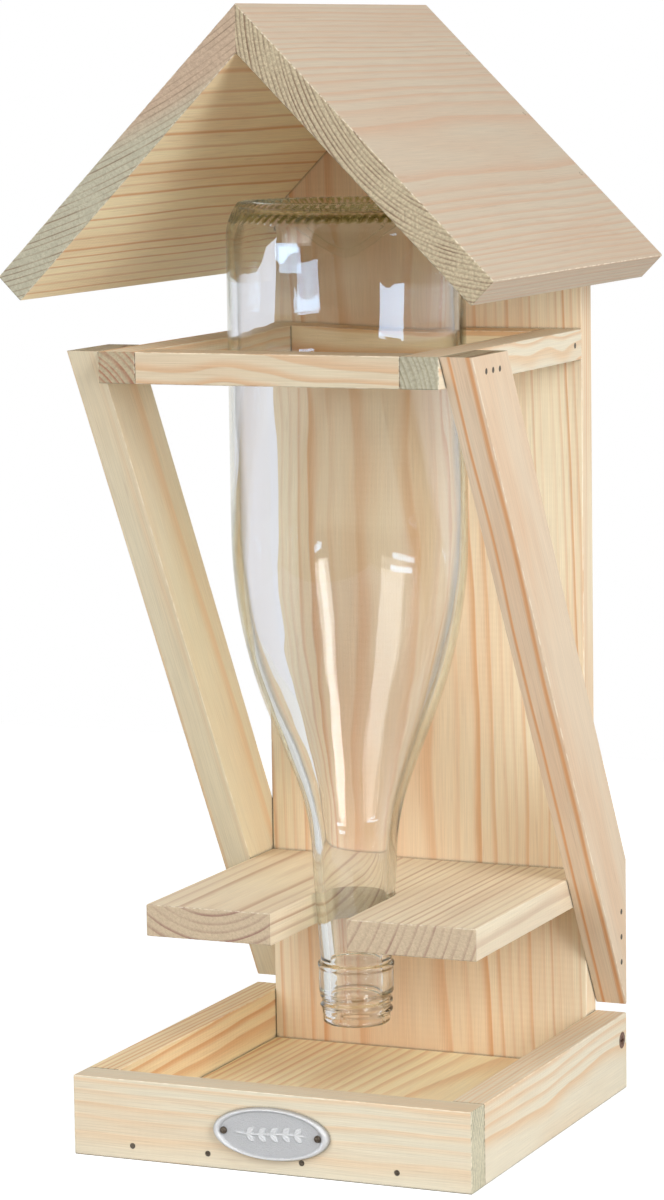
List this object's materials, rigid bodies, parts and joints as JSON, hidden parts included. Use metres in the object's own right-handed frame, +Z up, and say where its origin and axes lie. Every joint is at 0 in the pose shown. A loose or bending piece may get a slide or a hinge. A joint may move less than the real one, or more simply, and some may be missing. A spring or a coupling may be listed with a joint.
{
  "type": "bird feeder",
  "caption": "Wooden bird feeder with a pitched roof: an upside-down glass bottle of seed stands in a collar, its neck in a slotted shelf, over an open feeding tray.",
  "frame": {"origin": "on the standing surface, under the middle of the whole feeder's box", "axes": "+Z up, +X to the right as seen from the front, front towards -Y, flat back towards +Y"},
  "size_m": [0.1806, 0.166, 0.3983],
  "materials": {
    "pine": "sawn and lightly planed, unvarnished",
    "steel": "dull galvanised",
    "cast_metal": "cast, tumbled",
    "clear_glass": "clear, polished"
  },
  "bodies": {
    "feeder": {"back_board": "pine", "roof_left": "pine", "roof_right": "pine", "collar_left": "pine", "collar_right": "pine", "collar_front": "pine", "collar_rear": "pine", "strut_left": "pine", "strut_right": "pine", "shelf": "pine", "tray_front": "pine", "tray_left": "pine", "tray_right": "pine", "tray_floor": "pine", "badge": "cast_metal", "badge_pins": "cast_metal", "tray_front_nails": "steel", "tray_screws": "steel", "strut_top_nails": "steel", "strut_low_nails": "steel", "collar_nails": "steel", "board_nails": "steel", "roof_pins": "steel"},
    "bottle": {"bottle": "clear_glass"}
  },
  "joints": [
    {"name": "bottle_lift", "type": "slide", "parent": "feeder", "child": "bottle", "axis": [0, 0, 1], "range_m": [0, 0.013]}
  ]
}
